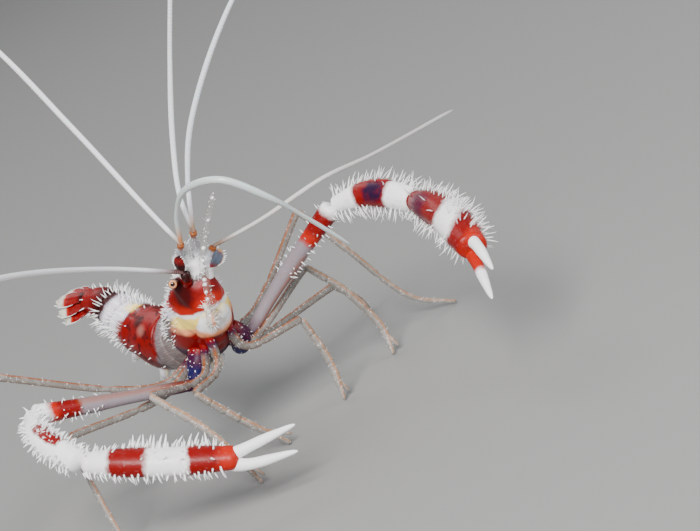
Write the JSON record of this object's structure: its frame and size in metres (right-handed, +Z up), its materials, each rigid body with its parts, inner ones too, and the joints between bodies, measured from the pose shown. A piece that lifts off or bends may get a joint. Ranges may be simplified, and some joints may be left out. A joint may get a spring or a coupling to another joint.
{
  "type": "banded coral shrimp",
  "caption": "Life-size still model of a banded coral shrimp, a cleaner shrimp, standing with both long clawed arms held out and its feelers raised.",
  "frame": {"origin": "on the floor, under the middle of the bounding box", "axes": "+X the way the shrimp faces, +Y its left, +Z up"},
  "size_m": [0.0882, 0.0984, 0.0741],
  "materials": {
    "head_shell": "glossy shell, crimson in front and milky white to clear behind",
    "abdomen_shell": "glossy shell in crimson, white and clear bands",
    "tail_fan": "glossy crimson blades with pale tips",
    "claw_shell": "satin shell in crimson and white bands, white spines",
    "leg_shell": "glassy pale grey-brown shell",
    "feeler": "white, smooth",
    "eye": "glossy orange ring round a dark pupil"
  },
  "bodies": {
    "root": {"abdomen_1": "abdomen_shell", "abdomen_2": "abdomen_shell", "abdomen_3": "abdomen_shell", "abdomen_4": "abdomen_shell", "abdomen_5": "abdomen_shell", "abdomen_6": "abdomen_shell", "antenna_base_l": "head_shell", "antenna_base_r": "head_shell", "antennal_scale_l": "head_shell", "antennal_scale_r": "head_shell", "antennule_base_l": "head_shell", "antennule_base_r": "head_shell", "arm_base_l": "claw_shell", "arm_base_r": "claw_shell", "arm_carpus_l": "claw_shell", "arm_carpus_r": "claw_shell", "arm_finger_l": "claw_shell", "arm_finger_r": "claw_shell", "arm_merus_l": "claw_shell", "arm_merus_r": "claw_shell", "arm_palm_l": "claw_shell", "arm_palm_r": "claw_shell", "carapace": "head_shell", "eye_l": "eye", "eye_r": "eye", "eye_stalk_l": "head_shell", "eye_stalk_r": "head_shell", "feeler_antenna_l": "feeler", "feeler_antenna_r": "feeler", "feeler_antennule_lower_l": "feeler", "feeler_antennule_lower_r": "feeler", "feeler_antennule_upper_l": "feeler", "feeler_antennule_upper_r": "feeler", "leg1_l_lower": "leg_shell", "leg1_l_upper": "leg_shell", "leg1_r_lower": "leg_shell", "leg1_r_upper": "leg_shell", "leg2_l_lower": "leg_shell", "leg2_l_upper": "leg_shell", "leg2_r_lower": "leg_shell", "leg2_r_upper": "leg_shell", "leg4_l_lower": "leg_shell", "leg4_l_upper": "leg_shell", "leg4_r_lower": "leg_shell", "leg4_r_upper": "leg_shell", "leg5_l_lower": "leg_shell", "leg5_l_upper": "leg_shell", "leg5_r_lower": "leg_shell", "leg5_r_upper": "leg_shell", "maxilliped_l": "head_shell", "maxilliped_r": "head_shell", "rostrum": "head_shell", "sternum": "head_shell", "telson": "tail_fan", "uropod_inner_l": "tail_fan", "uropod_inner_r": "tail_fan", "uropod_outer_l": "tail_fan", "uropod_outer_r": "tail_fan"}
  },
  "joints": []
}
